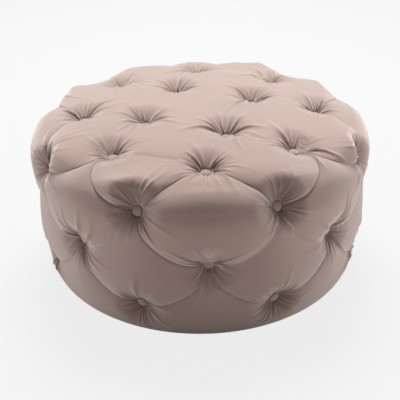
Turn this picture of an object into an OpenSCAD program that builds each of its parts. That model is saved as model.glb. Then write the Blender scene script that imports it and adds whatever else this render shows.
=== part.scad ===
// Round deep-buttoned footstool in velvet, on a hidden plywood drum.
// Millimetres, +Z up, origin on the floor at the middle of the stool.

/* [Overall] */
// Diameter over the widest bulges of the side
overall_d = 850; // [780:5:950]
// Height from the floor to the crown of the top
overall_h = 400; // [380:5:460]
// Diameter of the smooth bottom edge, where the cover turns under
base_d = 804; // [770:2:830]
// Height of the widest part of the side
belly_z = 240; // [220:5:260]
// How much the top rises from its rim to its middle
dome_h = 12; // [6:1:20]
// Squareness of the shoulder between top and side
shoulder_p = 5; // [4:0.5:7]
// How late the side tucks in towards the floor
tuck_p = 2.8; // [2:0.1:4]
// Radius of the bottom edge of the cover
hem_corner_r = 8; // [5:1:10]

/* [Buttoning] */
// Turn of the whole button pattern about the middle
pattern_turn = 24.5; // [0:0.5:90]
// Radius of the ring of four buttons
inner_ring_r = 146; // [120:2:170]
// Radius of the ring of eight buttons on the top
outer_ring_r = 293; // [270:1:305]
// Height on the side of the upper row of buttons
upper_row_z = 333; // [322:1:340]
// Height on the side of the middle row of buttons
middle_row_z = 200; // [180:5:220]
// Height on the side of the lower row of buttons
lower_row_z = 75; // [70:5:95]
// Depth of the tufts at the two rings on the top
top_tuft = 26; // [15:1:28]
// Depth of the tufts in the upper row
upper_tuft = 38; // [25:1:40]
// Depth of the tufts in the middle row
middle_tuft = 36; // [25:1:40]
// Depth of the tufts in the lower row
lower_tuft = 28; // [20:1:34]
// Height of a crease half way between two buttons, as a share of the tuft
crease_lift = 0.7; // [0.5:0.05:0.85]
// Power of the rise beside a button or a crease, smaller is steeper
crease_p = 0.4; // [0.35:0.05:0.6]
// Width of the slope round the floor of a tuft
slope_w = 60; // [50:5:70]
// Sag of the creases from the upper row down to the middle one
upper_sag = 15; // [0:1:20]
// Sag of the creases from the middle row down to the lower one
lower_sag = 24; // [0:1:28]
// Diameter of a covered button
button_d = 25; // [20:1:27]
// Height of a covered button
button_h = 8; // [6:1:10]
// Wall of the button's cap with its cloth
cap_t = 1.6; // [1:0.2:2]
// Diameter of the button's neck behind the cloth
neck_d = 5; // [4:0.5:6]
// Diameter of the wire of the button's eye
eye_wire_d = 1.4; // [1:0.1:1.6]
// Diameter of the twine in the loop through an eye
twine_d = 2; // [1.6:0.1:2.2]
// Diameter of the doubled twine below the loop
doubled_twine_d = 3; // [2.6:0.1:3.4]
// Diameter of the knot that holds the twine
knot_d = 7; // [6.5:0.5:9]
// Diameter of the washer behind each knot
washer_d = 22; // [18:1:26]
// Thickness of the washer
washer_t = 2; // [1.5:0.5:3]

/* [Padding and cloth] */
// Padding on the side, from the drum to the bulges
side_padding_t = 75; // [70:1:85]
// Padding on the top, from the board to the crown
top_padding_t = 60; // [58:1:65]
// Thickness of the velvet with its backing
cover_t = 2; // [1:0.2:2.4]
// Thickness of the polyester wadding
wadding_t = 9; // [6:0.5:9.5]
// Clearance between layers of padding and cloth
soft_gap = 0.3; // [0.2:0.1:0.5]
// Diameter of the holes punched through the foam for the twine
foam_hole_d = 13; // [12:1:16]
// How far the cover turns in under the base
hem_w = 60; // [50:1:64]
// Thickness of the dust cover
dust_cover_t = 1; // [0.6:0.2:1.6]
// How far the dust cover stays in from the bottom edge
dust_cover_inset = 22; // [18:1:26]

/* [Frame] */
// Thickness of the top board
top_board_t = 15; // [12:1:18]
// Thickness of the base ring
base_ring_t = 18; // [15:1:21]
// Width of the base ring
base_ring_w = 90; // [85:1:110]
// Thickness of the bent side panel
side_panel_t = 4; // [3:0.5:5]
// Gap where the two ends of the side panel meet
panel_joint_w = 1.5; // [1:0.5:3]
// Width of an upright along the drum
upright_w = 45; // [40:1:60]
// Depth of an upright towards the middle
upright_depth = 40; // [36:1:45]
// Clearance round board, uprights and panel
wood_gap = 0.2; // [0.1:0.1:0.4]

/* [Fasteners and glides] */
// Diameter of the screws in the uprights
screw_d = 4.5; // [4:0.5:5]
// Length of the screws in the uprights
screw_l = 55; // [45:5:70]
// Distance between the two screws of an upright
screw_pitch = 24; // [20:1:28]
// Diameter of the panel nails
nail_d = 1.8; // [1.4:0.2:2.2]
// Length of the panel nails
nail_l = 22; // [18:1:30]
// Distance between the two rows of nails on an upright
nail_pitch = 20; // [16:1:30]
// Width of a staple's crown
staple_w = 10; // [8:1:12]
// Thickness of the staple wire
staple_wire_d = 0.6; // [0.5:0.05:0.65]
// Length of a staple's legs
staple_leg_l = 10; // [8:1:14]
// Height of a glide below the dust cover
glide_h = 5; // [4:0.5:8]
// Diameter of a glide
glide_d = 28; // [24:1:30]
// Diameter of the screw through a glide
glide_screw_d = 3.5; // [3:0.5:4]
// Length of the screw through a glide
glide_screw_l = 20; // [16:1:20]

/* [Hidden] */
$fn = 64;
smooth = 128;
overall_r = overall_d / 2;
base_r = base_d / 2;
// Cuts run past what they cut by the first where faces would meet, by the second elsewhere
eps = 0.01;
past = 1;

// Heights of the layers, from the floor up
staple_room = staple_wire_d;
dust_cover_z = glide_h;
hem_z = dust_cover_z + dust_cover_t + staple_room;
ring_z = hem_z + cover_t + soft_gap;
ring_top_z = ring_z + base_ring_t;
board_top_z = overall_h - top_padding_t;
board_z = board_top_z - top_board_t;

// Radii of the frame, from the outside in
ring_inset = 1.5;
panel_r = overall_r - side_padding_t;
panel_in_r = panel_r - side_panel_t;
board_r = panel_in_r - wood_gap;
ring_r = base_r - cover_t - wadding_t - 2 * soft_gap - ring_inset;
ring_in_r = ring_r - base_ring_w;
upright_r = board_r - upright_depth;

// Angles: a bay is the pitch of the side buttons, the rows are half a bay apart
bays = 8;
bay = 360 / bays;
half_bay = bay / 2;
upright_turn = pattern_turn + half_bay / 2;

// Profile of the crests, from the middle of the top (v = 0) over the shoulder (v = 1)
// and the belly (v = 2) down to the bottom edge, and on to the end of the hem
shoulder_h = overall_h - dome_h - belly_z;
hem_tilt = atan((overall_r - base_r) * tuck_p / (belly_z - hem_z - hem_corner_r));
edge_z = hem_z + hem_corner_r * (1 - sin(hem_tilt));
tuck_h = belly_z - edge_z;
v_edge = 2 + tuck_h / shoulder_h;
v_hem = v_edge + 1;
hem_arc = 0.6;
hem_mid_r = base_r - hem_corner_r * cos(hem_tilt);
hem_in_r = base_r - hem_w;

function square_out(s) = pow(1 + pow(s, shoulder_p), -1 / shoulder_p);
function upper_x(v) = v < 1 ? v * square_out(v) : square_out(2 - v);
function upper_y(v) = v < 1 ? square_out(v) : (2 - v) * square_out(2 - v);
function tuck(v) = (v - 2) * shoulder_h / tuck_h;
function hem_share(v) = min(1, (v - v_edge) / hem_arc);
function hem_angle(v) = hem_tilt + (90 - hem_tilt) * hem_share(v);

// Radius and height of the crest profile
function crest(v) =
    v <= 2 ? [
        overall_r * upper_x(v),
        belly_z + shoulder_h * upper_y(v) + dome_h * (1 - pow(upper_x(v), 2))
    ] :
    v <= v_edge ? [overall_r - (overall_r - base_r) * pow(tuck(v), tuck_p), belly_z - tuck_h * tuck(v)] :
    [
        hem_mid_r + hem_corner_r * cos(hem_angle(v))
            - (hem_mid_r - hem_in_r) * max(0, (v - v_edge - hem_arc) / (1 - hem_arc)),
        hem_z + hem_corner_r * (1 - sin(hem_angle(v)))
    ];

// Unit normal of the crest profile, as radius and height
function turn_out(d) = [d[1], -d[0]] / norm(d);
function crest_normal(v) =
    v < eps ? [0, 1] :
    v > v_edge ? [cos(hem_angle(v)), -sin(hem_angle(v))] :
    turn_out(crest(v) - crest(v + eps));

// Places of the rings and rows on that profile
function v_of_radius(r) = let (x = r / overall_r) x * pow(1 - pow(x, shoulder_p), -1 / shoulder_p);
function v_of_height(z) =
    z > belly_z
    ? let (y = (z - belly_z) / shoulder_h) 2 - y * pow(1 - pow(y, shoulder_p), -1 / shoulder_p)
    : 2 + (belly_z - z) / shoulder_h;
v_inner = v_of_radius(inner_ring_r);
v_outer = v_of_radius(outer_ring_r);
v_upper = v_of_height(upper_row_z);
v_middle = v_of_height(middle_row_z);
v_lower = v_of_height(lower_row_z);

// Depth of the tufts along the profile
function tuft(v) = lookup(v, [
    [v_inner, top_tuft], [v_outer, top_tuft], [v_upper, upper_tuft],
    [v_middle, middle_tuft], [v_lower, lower_tuft], [v_lower + button_floor / shoulder_h, lower_tuft],
    [v_edge, 0]
]);

// The tufted surface is made of patches between buttons. A patch is a grid of
// [x, y, f]: x and y lie on a map whose distance from the middle is v, and f is
// the height above the tuft's floor, from 0 under a button to 1 on the crest.
near = 0.125;
part = 0.35;
steps = [0, near, part, 1 - part, 1 - near, 1];
last = len(steps) - 1;
per_patch = len(steps) * len(steps);
bay_steps = [0, 0.1, 0.3, 0.55, 0.8, 1];
hem_steps = [0, 0.13, 0.37, 0.63, 0.87, 1];
button_floor = 0.8 * button_d;

function humped(t) = 4 * t * (1 - t);
function hanging(t) = pow(humped(t), 2);
function on_map(p) = p[0] * [cos(p[1]), sin(p[1])];
function sag_between(high, low) =
    high == v_upper && low == v_middle ? upper_sag : high == v_middle && low == v_lower ? lower_sag : 0;
// A crease between two buttons of one ring is straight. Any other runs evenly in v
// and angle, and those on the side hang down between their buttons.
function on_crease(p, q, t) =
    p[0] == q[0] ? on_map(p) * (1 - t) + on_map(q) * t :
    let (sag = sag_between(min(p[0], q[0]), max(p[0], q[0])))
    on_map(p * (1 - t) + q * t + [sag / shoulder_h * hanging(t), 0]);
function in_patch(c, a, b) =
    on_crease(c[0], c[1], a) * (1 - b) + on_crease(c[3], c[2], a) * b
    + on_crease(c[0], c[3], b) * (1 - a) + on_crease(c[1], c[2], b) * a
    - (on_map(c[0]) * (1 - a) + on_map(c[1]) * a) * (1 - b)
    - (on_map(c[3]) * (1 - a) + on_map(c[2]) * a) * b;

// A tuft is flat under its button and slopes up all round, by the distance from its middle
floor_r = 1.2 * button_d;
function stood(p) = let (v = norm(p), at = crest(v)) concat(p / v * at[0], at[1]);
function from_buttons(p, places) = min([for (q = places) norm(stood(p) - stood(on_map(q)))]);
function slope(p, places) =
    let (up = min(1, max(0, from_buttons(p, places) - floor_r) / slope_w)) 1 - pow(1 - up, 1 / crease_p);
// A panel swells from the creases round it to its full height
function panel(rise) = crease_lift + (1 - crease_lift) * pow(rise, crease_p);
function raised(p, places, rise) = concat(p, norm(p) < eps ? 1 : slope(p, places) * panel(rise));

function diamond(c) = [
    for (b = steps) [for (a = steps) raised(in_patch(c, a, b), c, humped(a) * humped(b))]
];
// In the corners the grid is drawn back from the button, so that its floor is flat there too
function drawn_back(a, b) = a - a * a * (1 - a) * humped(b);
function corner(c) = [
    for (b = steps) [for (a = steps) raised(in_patch(c, drawn_back(a, b), b), c, humped(a) * humped(b))]
];
// Half of the field between two lower buttons and the bottom edge
function bay_half(from, to, lower_first) = [
    for (b = bay_steps) [
        for (t = steps)
        let (
            u = lower_first ? t : 1 - t,
            crease_v = v_lower + (v_middle - v_lower) * u + lower_sag / shoulder_h * hanging(u),
            v = crease_v * (1 - b) + v_edge * b
        )
        raised(
            on_map([v, from + (to - from) * t]),
            [[v_lower, lower_first ? from : to], [v_middle, lower_first ? to : from]],
            b * (2 - b)
        )
    ]
];
// The cover goes on round the bottom edge and under the base
function hem_half(from, to) = [
    for (b = hem_steps) [
        for (t = steps) concat(on_map([v_edge + (v_hem - v_edge) * b, from + (to - from) * t]), 1)
    ]
];

// Buttons as [v, angle], counted in bays from the start of the pattern
function inner(k) = [v_inner, pattern_turn + bay * k];
function outer(k) = [v_outer, pattern_turn + bay * k];
function upper(k) = [v_upper, pattern_turn + bay * k];
function middle(k) = [v_middle, pattern_turn + bay * k];
function lower(k) = [v_lower, pattern_turn + bay * k];

// A patch is listed with its sides that are edges of the cloth: 0 first, then round
seam_sides = [0, 3];
top_patches = concat(
    [[diamond([inner(0), inner(2), inner(4), inner(6)]), []]],
    [for (k = [0 : 2 : 6]) [diamond([inner(k), outer(k + 0.5), outer(k + 1.5), inner(k + 2)]), []]],
    [for (k = [0 : 2 : 6]) [diamond([inner(k), outer(k - 0.5), upper(k), outer(k + 0.5)]), [1, 2]]],
    [for (k = [1 : 2 : 7]) [corner([outer(k - 0.5), upper(k), upper(k), outer(k + 0.5)]), [0, 2]]]
);
function side_patches(first, end, edge_sides) = [
    for (k = [first : end - 1])
    let (starts = k == first && end - first < bays, ends = k == end - 1 && end - first < bays)
    each [
        [
            diamond([outer(k + 0.5), upper(k), middle(k + 0.5), upper(k + 1)]),
            starts ? concat(seam_sides, 1) : seam_sides
        ],
        [
            diamond([upper(k + 1), middle(k + 0.5), lower(k + 1), middle(k + 1.5)]),
            ends ? [2, 3] : []
        ],
        [
            bay_half(lower(k + 1)[1], middle(k + 0.5)[1], true),
            ends ? concat(edge_sides, 3) : edge_sides
        ],
        [
            bay_half(middle(k + 0.5)[1], lower(k)[1], false),
            starts ? concat(edge_sides, [0, 1]) : edge_sides
        ]
    ]
];
function hem_patches(first, end) = [
    for (k = [first : end - 1])
    each [
        [hem_half(lower(k + 1)[1], middle(k + 0.5)[1]), k == end - 1 ? [2, 3] : [2]],
        [hem_half(middle(k + 0.5)[1], lower(k)[1]), k == first ? [2, 1] : [2]]
    ]
];

function rounded(p) = [for (c = p) round(c * 10000) / 10000];
// A grid point on the surface that lies `under` below the outside of the cover
function laid(q, under) =
    let (
        v = norm([q[0], q[1]]),
        way = v < eps ? [1, 0] : [q[0], q[1]] / v,
        at = crest(v) - crest_normal(v) * (tuft(v) * (1 - q[2]) + under)
    )
    rounded([way[0] * at[0], way[1] * at[0], at[1]]);
function layer(patches, under) = [for (p = patches) for (row = p[0]) for (q = row) laid(q, under)];

// Triangles of one patch, with their diagonals across the way to the nearest button
function spot(i, j) = j * len(steps) + i;
patch_tris = [
    for (j = [0 : last - 1])
    for (i = [0 : last - 1])
    each (i - (last - 1) / 2) * (j - (last - 1) / 2) > 0
    ? [[spot(i, j), spot(i, j + 1), spot(i + 1, j)], [spot(i + 1, j), spot(i, j + 1), spot(i + 1, j + 1)]]
    : [[spot(i, j), spot(i + 1, j + 1), spot(i + 1, j)], [spot(i, j), spot(i, j + 1), spot(i + 1, j + 1)]]
];
function along(side) = [
    for (i = [0 : last])
    side == 0 ? spot(i, 0) : side == 1 ? spot(last, i) : side == 2 ? spot(last - i, last) : spot(0, last - i)
];
function shifted(tris, by) = [for (t = tris) [for (i = t) i + by]];
function turned(tris) = [for (t = tris) [t[2], t[1], t[0]]];
// The edge of a cloth, split the same way on both sides of a seam
function rim(side, by, deep, pts) = [
    for (i = [0 : last - 1])
    let (s = along(side)[i] + by, e = along(side)[i + 1] + by)
    each pts[s][2] > pts[e][2]
    ? [[s, e, e + deep], [s, e + deep, s + deep]]
    : [[s, e, s + deep], [e, e + deep, s + deep]]
];
function whole(tris, pts) = [
    for (t = tris)
    if (pts[t[0]] != pts[t[1]] && pts[t[1]] != pts[t[2]] && pts[t[2]] != pts[t[0]]) t
];

// Depths of the wadding and the foam below the outside of the cover
wadding_under = cover_t + soft_gap;
foam_under = wadding_under + wadding_t + soft_gap;

// A layer of cloth or wadding that follows the patches between two depths
module layered(patches, from, to) {
    pts = concat(layer(patches, from), layer(patches, to));
    deep = len(patches) * per_patch;
    tris = [
        for (g = [0 : len(patches) - 1])
        each concat(
            shifted(patch_tris, g * per_patch),
            shifted(turned(patch_tris), g * per_patch + deep),
            [for (s = patches[g][1]) each rim(s, g * per_patch, deep, pts)]
        )
    ];
    polyhedron(points = pts, faces = whole(tris, pts));
}

// Everything inside the wadding, down to the bottom edge
module padding_body() {
    patches = concat(top_patches, side_patches(0, bays, [2]));
    foot = [0, 0, edge_z + cover_t];
    pts = concat(layer(patches, foam_under), [foot]);
    tris = [
        for (g = [0 : len(patches) - 1])
        each concat(
            shifted(patch_tris, g * per_patch),
            g < len(top_patches) ? [] :
            [for (s = patches[g][1]) if (s == 2) for (i = [0 : last - 1])
                [along(2)[i] + g * per_patch, along(2)[i + 1] + g * per_patch, len(pts) - 1]]
        )
    ];
    polyhedron(points = pts, faces = whole(tris, pts));
}

// Places children with +Z along a button's axis, at the outside of the cover under it
function button_at(p) = crest(p[0]) - crest_normal(p[0]) * tuft(p[0]);
function button_tilt(p) = atan2(crest_normal(p[0])[1], crest_normal(p[0])[0]);
module at_button(p) {
    rotate([0, 0, p[1]])
        translate([button_at(p)[0], 0, button_at(p)[1]])
            rotate([0, 90 - button_tilt(p), 0])
                children();
}
inner_ring = [for (k = [0 : 2 : 6]) inner(k)];
outer_ring = [for (k = [0 : bays - 1]) outer(k + 0.5)];
upper_row = [for (k = [0 : bays - 1]) upper(k)];
middle_row = [for (k = [0 : bays - 1]) middle(k + 0.5)];
lower_row = [for (k = [0 : bays - 1]) lower(k)];
top_buttons = concat(inner_ring, outer_ring);
side_buttons = concat(upper_row, middle_row, lower_row);

// Holes along the axes of the buttons, deep enough to reach through the drum,
// turned so that no hole starts on a fold
hole_gap = 0.5;
hole_reach = 2 * top_padding_t;
hole_turn = 11;
module button_holes(places, d) {
    for (p = places)
        at_button(p)
            rotate([0, 0, hole_turn])
                translate([0, 0, -hole_reach])
                    cylinder(d = d, h = hole_reach + button_h);
}

// Covered button: a domed cap over a flat back with a neck and an eye
neck_l = cover_t + past;
eye_d = 6;
loop_d = 6;
link_gap = 0.15;
eye_z = -neck_l - eye_d / 2 + eye_wire_d / 4;
loop_z = eye_z - eye_d / 2 - loop_d / 2 + (eye_wire_d + twine_d) / 2 + link_gap;
// The button sits this far above the floor of its tuft, on the pleats
seat_lift = 2;
module cap_outline(r, h) {
    dome_r = (r * r + h * h) / (2 * h);
    intersection() {
        translate([0, h - dome_r]) circle(r = dome_r, $fn = smooth);
        square([r, h]);
    }
}
module button_caps(places) {
    for (p = places)
        at_button(p)
            translate([0, 0, seat_lift])
                difference() {
                    union() {
                        cylinder(d = button_d, h = cap_t);
                        translate([0, 0, cap_t - eps])
                            rotate_extrude() cap_outline(button_d / 2, button_h - cap_t - seat_lift);
                    }
                    translate([0, 0, -eps]) cylinder(d = button_d - 2 * cap_t, h = cap_t + 2 * eps);
                }
}
module button_backs(places) {
    for (p = places)
        at_button(p) {
            translate([0, 0, seat_lift]) cylinder(d = button_d - 2 * cap_t - 2 * link_gap, h = cap_t);
            translate([0, 0, -neck_l]) cylinder(d = neck_d, h = neck_l + seat_lift + eps);
            translate([0, 0, eye_z]) rotate([90, 0, 0]) ring(eye_d, eye_wire_d);
        }
}
module ring(d, wire_d) {
    rotate_extrude() translate([d / 2, 0]) circle(d = wire_d);
}

// Twine: a loop through the eye, a straight run and a knot behind the washer
knot_lift = 0.3;
washer_play = 3;
function top_run(p) = (button_at(p)[1] - board_z + washer_t + wood_gap) / crest_normal(p[0])[1];
function side_run(p) = (button_at(p)[0] - washer_face_r + washer_t) / crest_normal(p[0])[0];
washer_face_r = sqrt(pow(panel_in_r, 2) - pow(washer_d / 2, 2)) - wood_gap;
module twine(p, run) {
    at_button(p) {
        translate([0, 0, loop_z]) rotate([90, 0, 90]) ring(loop_d, twine_d);
        translate([0, 0, -run - knot_d / 2])
            cylinder(d = doubled_twine_d, h = run + knot_d / 2 + loop_z - loop_d / 2);
        translate([0, 0, -run - knot_d / 2 - knot_lift]) sphere(d = knot_d);
    }
}
module washer() {
    difference() {
        cylinder(d = washer_d, h = washer_t);
        translate([0, 0, -eps]) cylinder(d = doubled_twine_d + washer_play, h = washer_t + 2 * eps);
    }
}

// Fasteners
module staple() {
    for (s = [-1, 1])
        translate([s * (staple_w - staple_wire_d) / 2, 0, 0]) cylinder(d = staple_wire_d, h = staple_leg_l);
    translate([-staple_w / 2, -staple_wire_d / 2, -staple_wire_d])
        cube([staple_w, staple_wire_d, staple_wire_d]);
}
module staple_holes() {
    for (s = [-1, 1])
        translate([s * (staple_w - staple_wire_d) / 2, 0, -eps])
            cylinder(d = staple_wire_d + wood_gap, h = staple_leg_l + wood_gap);
}
staple_edge = 5;
hem_staples = 32;
dust_staples = 16;
module on_staples(count, r, z) {
    for (k = [0.5 : count])
        rotate([0, 0, upright_turn + k * 360 / count]) translate([0, -r, z]) children();
}
module on_hem_staples() {
    on_staples(hem_staples, hem_in_r + staple_edge, hem_z) children();
}
module on_dust_staples() {
    on_staples(dust_staples, base_r - dust_cover_inset - staple_edge, dust_cover_z) children();
}
module on_uprights() {
    for (k = [0 : bays - 1]) rotate([0, 0, upright_turn + k * bay]) children();
}
nail_edge = 12;
nail_sink = 1;
screw_r = board_r - upright_depth / 2;
module on_upright_screws() {
    on_uprights() for (s = [-1, 1]) translate([screw_r, s * screw_pitch / 2, 0]) children();
}
screw_gap = 0.2;
module screw(d, l, slack) {
    cylinder(d = d + slack, h = l);
    cylinder(d1 = 2 * d + slack, d2 = d + slack, h = d / 2);
}
glide_r = ring_r - glide_d;
module on_glides() {
    on_uprights() translate([glide_r, 0, 0]) children();
}
nail_rows = [ring_z + screw_l + nail_edge, (ring_z + board_top_z) / 2, board_top_z - screw_l - nail_edge];
module on_nails() {
    on_uprights()
        for (z = nail_rows, s = [-1, 1])
            translate([panel_r, s * nail_pitch / 2, z]) rotate([0, -90, 0]) children();
}

// Glides and what closes the base
glide_recess = 2;
glide_edge = 1;
driver_room = 1;
module glides() {
    color("#2b2b2d")
        difference() {
            on_glides() {
                cylinder(d1 = glide_d - 2 * glide_edge, d2 = glide_d, h = glide_edge);
                translate([0, 0, glide_edge]) cylinder(d = glide_d, h = glide_h - glide_edge);
            }
            on_glides() {
                translate([0, 0, -eps]) cylinder(d = 2 * glide_screw_d + driver_room, h = glide_recess + eps);
                translate([0, 0, glide_recess]) screw(glide_screw_d, glide_h, screw_gap);
            }
        }
}
module glide_screws() {
    color("#b9bcc0") on_glides() translate([0, 0, glide_recess]) screw(glide_screw_d, glide_screw_l, 0);
}
module glide_screw_holes() {
    on_glides() cylinder(d = glide_screw_d + screw_gap, h = glide_recess + glide_screw_l + past);
}
module dust_cover() {
    color("#1c1c1e")
        difference() {
            translate([0, 0, dust_cover_z])
                cylinder(r = base_r - dust_cover_inset, h = dust_cover_t, $fn = smooth);
            glide_screw_holes();
            on_dust_staples() staple_holes();
        }
}
module dust_cover_staples() {
    color("#c9ccd0") on_dust_staples() staple();
}

// Drum: base ring, uprights, top board and a bent panel
module base_ring() {
    color("#c8a878")
        difference() {
            translate([0, 0, ring_z]) cylinder(r = ring_r, h = base_ring_t, $fn = smooth);
            translate([0, 0, ring_z - past])
                cylinder(r = ring_in_r, h = base_ring_t + 2 * past, $fn = smooth);
            on_upright_screws() translate([0, 0, ring_z - eps]) screw(screw_d, screw_l, screw_gap);
            glide_screw_holes();
            on_hem_staples() staple_holes();
            on_dust_staples() staple_holes();
        }
}
module uprights() {
    color("#d9bd8e")
        difference() {
            intersection() {
                on_uprights()
                    translate([upright_r, -upright_w / 2, ring_top_z])
                        cube([2 * upright_depth, upright_w, board_z - ring_top_z]);
                cylinder(r = board_r, h = overall_h, $fn = smooth);
            }
            on_upright_screws() {
                translate([0, 0, ring_z - past]) cylinder(d = screw_d + screw_gap, h = screw_l + 2 * past);
                translate([0, 0, board_top_z - screw_l - past])
                    cylinder(d = screw_d + screw_gap, h = screw_l + 2 * past);
            }
            on_nails() cylinder(d = nail_d + screw_gap, h = nail_l + past);
        }
}
module base_screws() {
    color("#b9bcc0") on_upright_screws() translate([0, 0, ring_z]) screw(screw_d, screw_l, 0);
}
module top_board() {
    color("#c8a878")
        difference() {
            translate([0, 0, board_z]) cylinder(r = board_r, h = top_board_t, $fn = smooth);
            on_upright_screws()
                translate([0, 0, board_top_z + eps]) mirror([0, 0, 1]) screw(screw_d, screw_l, screw_gap);
            button_holes(top_buttons, doubled_twine_d + 2 * hole_gap);
        }
}
module top_board_screws() {
    color("#b9bcc0")
        on_upright_screws() translate([0, 0, board_top_z]) mirror([0, 0, 1]) screw(screw_d, screw_l, 0);
}
module side_panel() {
    color("#9a6f45")
        difference() {
            translate([0, 0, ring_top_z]) cylinder(r = panel_r, h = board_top_z - ring_top_z, $fn = smooth);
            translate([0, 0, ring_top_z - past]) cylinder(r = panel_in_r, h = board_top_z, $fn = smooth);
            button_holes(side_buttons, doubled_twine_d + 2 * hole_gap);
            on_nails() cylinder(d = nail_d + screw_gap, h = nail_l);
            on_nails() translate([0, 0, -eps]) cylinder(d = 2 * nail_d + screw_gap, h = nail_sink + 2 * eps);
            rotate([0, 0, upright_turn + bay])
                translate([0, -panel_joint_w / 2, 0]) cube([panel_r + past, panel_joint_w, overall_h]);
        }
}
module side_panel_nails() {
    color("#8e9196")
        on_nails() {
            cylinder(d = nail_d, h = nail_l);
            cylinder(d = 2 * nail_d, h = nail_sink);
        }
}

// Foam and wadding
module seat_foam() {
    color("#e9dca0")
        difference() {
            intersection() {
                padding_body();
                translate([0, 0, board_top_z + soft_gap]) cylinder(r = overall_r, h = overall_h);
            }
            button_holes(concat(top_buttons, upper_row), foam_hole_d);
        }
}
module side_foam() {
    color("#e9dca0")
        difference() {
            intersection() {
                padding_body();
                translate([0, 0, ring_top_z + soft_gap])
                    cylinder(r = overall_r, h = board_top_z - ring_top_z - 2 * soft_gap);
            }
            cylinder(r = panel_r + soft_gap, h = overall_h, $fn = smooth);
            button_holes(side_buttons, foam_hole_d);
        }
}
module wadding(patches, places) {
    color("#f4f3ee")
        difference() {
            layered(patches, wadding_under, wadding_under + wadding_t);
            button_holes(places, eye_d + eye_wire_d + 2 * soft_gap);
        }
}
module seat_wadding() {
    wadding(top_patches, concat(top_buttons, upper_row));
}
// The side's cloths are counted from the bay that starts the front one
half_bays = bays / 2;
front_start = half_bays;
module side_wadding_front() {
    wadding(side_patches(front_start, front_start + half_bays, [2]), concat(outer_ring, side_buttons));
}
module side_wadding_back() {
    wadding(side_patches(front_start + half_bays, front_start + bays, [2]), concat(outer_ring, side_buttons));
}

// Velvet cover: one top and four sides, joined in the creases
velvet = "#b9a497";
module cover(patches, places) {
    color(velvet)
        difference() {
            layered(patches, 0, cover_t);
            button_holes(places, neck_d + 2 * hole_gap);
            glide_screw_holes();
            on_hem_staples() staple_holes();
            on_dust_staples() staple_holes();
        }
}
module cover_side(k) {
    cover(
        concat(side_patches(k, k + 2, []), hem_patches(k, k + 2)),
        concat(outer_ring, side_buttons)
    );
}
module cover_top() {
    color(velvet)
        difference() {
            layered(top_patches, 0, cover_t);
            button_holes(concat(top_buttons, upper_row), neck_d + 2 * hole_gap);
        }
}
module cover_side_front() {
    cover_side(front_start + 1);
}
module cover_side_right() {
    cover_side(front_start + 3);
}
module cover_side_back() {
    cover_side(front_start + 5);
}
module cover_side_left() {
    cover_side(front_start + 7);
}
module cover_staples() {
    color("#c9ccd0") on_hem_staples() staple();
}

// Buttons and what holds them
module buttons_top_inner() {
    color(velvet) button_caps(inner_ring);
}
module buttons_top_outer() {
    color(velvet) button_caps(outer_ring);
}
module buttons_side_upper() {
    color(velvet) button_caps(upper_row);
}
module buttons_side_middle() {
    color(velvet) button_caps(middle_row);
}
module buttons_side_lower() {
    color(velvet) button_caps(lower_row);
}
module button_backs_top() {
    color("#d5d7da") button_backs(top_buttons);
}
module button_backs_side() {
    color("#d5d7da") button_backs(side_buttons);
}
module twine_top_inner() {
    color("#efe8d8") for (p = inner_ring) twine(p, top_run(p));
}
module twine_top_outer() {
    color("#efe8d8") for (p = outer_ring) twine(p, top_run(p));
}
module twine_side_upper() {
    color("#efe8d8") for (p = upper_row) twine(p, side_run(p));
}
module twine_side_middle() {
    color("#efe8d8") for (p = middle_row) twine(p, side_run(p));
}
module twine_side_lower() {
    color("#efe8d8") for (p = lower_row) twine(p, side_run(p));
}
module tie_washers_top() {
    color("#3a3a3c")
        for (p = top_buttons)
            let (r = button_at(p)[0] - crest_normal(p[0])[0] * top_run(p))
                rotate([0, 0, p[1]]) translate([r, 0, board_z - wood_gap - washer_t]) washer();
}
module tie_washers_side() {
    color("#3a3a3c")
        for (p = side_buttons)
            let (z = button_at(p)[1] - crest_normal(p[0])[1] * side_run(p))
                rotate([0, 0, p[1]]) translate([washer_face_r - washer_t, 0, z]) rotate([0, 90, 0]) washer();
}

glides();
glide_screws();
dust_cover();
dust_cover_staples();
base_ring();
uprights();
base_screws();
top_board();
top_board_screws();
side_panel();
side_panel_nails();
side_foam();
seat_foam();
side_wadding_front();
side_wadding_back();
seat_wadding();
cover_top();
cover_side_front();
cover_side_right();
cover_side_back();
cover_side_left();
cover_staples();
buttons_top_inner();
buttons_top_outer();
buttons_side_upper();
buttons_side_middle();
buttons_side_lower();
button_backs_top();
button_backs_side();
twine_top_inner();
twine_top_outer();
twine_side_upper();
twine_side_middle();
twine_side_lower();
tie_washers_top();
tie_washers_side();
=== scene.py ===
import math

import bmesh
import bpy
import numpy as np
from mathutils import Matrix, Vector


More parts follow.
